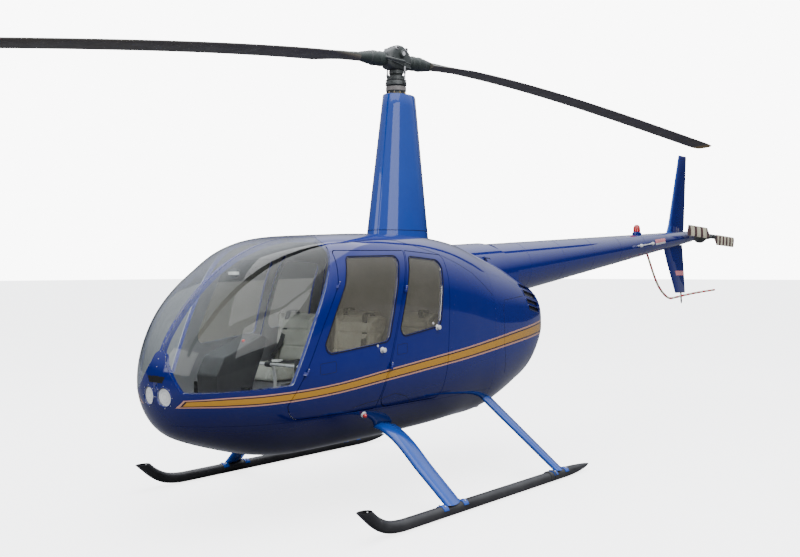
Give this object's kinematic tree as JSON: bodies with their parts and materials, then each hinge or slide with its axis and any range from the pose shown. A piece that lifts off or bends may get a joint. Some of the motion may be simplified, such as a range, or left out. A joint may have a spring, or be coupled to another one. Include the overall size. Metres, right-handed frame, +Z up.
{
  "type": "light four-seat helicopter on skids",
  "caption": "Light helicopter with a bubble cabin, hinged doors, teetering main rotor on a tall mast, tail boom with side tail rotor and a skid landing gear.",
  "frame": {"origin": "on the ground under the middle of the part's box, 0.825 m behind the main mast", "axes": "+Z up, nose towards -Y, the aircraft's port (left) side towards +X"},
  "size_m": [2.2338, 11.6888, 3.277],
  "materials": {
    "body_paint": "gloss deep blue paint",
    "strut_paint": "gloss bright blue paint",
    "skid_black": "worn satin black paint",
    "cabin_grey": "matt grey trim",
    "console_black": "matt black",
    "leather": "grey leather with sewn panels",
    "steel": "dark steel",
    "lamp": "bright reflector behind clear glass",
    "acrylic": "clear acrylic",
    "blade_paint": "dark olive-grey paint with ochre tips",
    "tail_blade_paint": "light paint with dark stripes",
    "red_lens": "red lens",
    "striped_tube": "white tube with red bands"
  },
  "bodies": {
    "airframe": {"cabin_frame": "body_paint", "belly_shell": "body_paint", "engine_cowling": "body_paint", "boom_fairing": "body_paint", "mast_fairing": "body_paint", "tail_boom": "body_paint", "upper_fin": "body_paint", "lower_fin": "body_paint", "stabiliser_starboard": "body_paint", "strut_front_port": "strut_paint", "strut_front_starboard": "strut_paint", "strut_aft_port": "strut_paint", "strut_aft_starboard": "strut_paint", "skid_port": "skid_black", "skid_starboard": "skid_black", "cabin_floor": "cabin_grey", "rear_bulkhead": "cabin_grey", "front_seat_base": "cabin_grey", "rear_seat_base": "cabin_grey", "instrument_console": "console_black", "cyclic_stick": "console_black", "front_seat_port": "leather", "front_seat_starboard": "leather", "rear_seat_port": "leather", "rear_seat_starboard": "leather", "main_gearbox": "steel", "engine_block": "steel", "mast_tube": "steel", "tail_gearbox": "steel", "landing_light_port": "lamp", "landing_light_starboard": "lamp", "windshield_port": "acrylic", "windshield_starboard": "acrylic", "beacon": "red_lens", "tail_guard": "striped_tube"},
    "main_rotor": {"rotor_shaft": "steel", "swashplate": "steel", "rotor_hub": "steel", "rotor_blade_aft": "blade_paint", "rotor_blade_forward": "blade_paint"},
    "tail_rotor": {"tail_rotor_hub": "steel", "tail_blade_aft": "tail_blade_paint", "tail_blade_forward": "tail_blade_paint"},
    "door_front_port": {"door_front_port": "body_paint", "window_front_port": "acrylic"},
    "door_rear_port": {"door_rear_port": "body_paint", "window_rear_port": "acrylic"},
    "door_front_starboard": {"door_front_starboard": "body_paint", "window_front_starboard": "acrylic"},
    "door_rear_starboard": {"door_rear_starboard": "body_paint", "window_rear_starboard": "acrylic"}
  },
  "joints": [
    {"name": "main_rotor_turn", "type": "hinge", "parent": "airframe", "child": "main_rotor", "pos_m": [0, -0.825, 3.162], "axis": [0, 0, 1], "continuous": true},
    {"name": "tail_rotor_turn", "type": "hinge", "parent": "airframe", "child": "tail_rotor", "pos_m": [0.15, 5.108, 1.972], "axis": [1, 0, 0], "continuous": true},
    {"name": "door_front_port_swing", "type": "hinge", "parent": "airframe", "child": "door_front_port", "pos_m": [0.62389, -2.402, 0.951], "axis": [-0.0106, -0.4527, -0.8916], "range_deg": [0, 75]},
    {"name": "door_front_starboard_swing", "type": "hinge", "parent": "airframe", "child": "door_front_starboard", "pos_m": [-0.62389, -2.402, 0.951], "axis": [-0.0106, 0.4527, 0.8916], "range_deg": [0, 75]},
    {"name": "door_rear_port_swing", "type": "hinge", "parent": "airframe", "child": "door_rear_port", "pos_m": [0.67264, -1.679, 0.938], "axis": [0.0097, -0.2943, -0.9557], "range_deg": [0, 75]},
    {"name": "door_rear_starboard_swing", "type": "hinge", "parent": "airframe", "child": "door_rear_starboard", "pos_m": [-0.67264, -1.679, 0.938], "axis": [0.0097, 0.2943, 0.9557], "range_deg": [0, 75]}
  ],
  "couplings": [
    {"joint": "tail_rotor_turn", "follows": "main_rotor_turn", "ratio": -5.946}
  ]
}
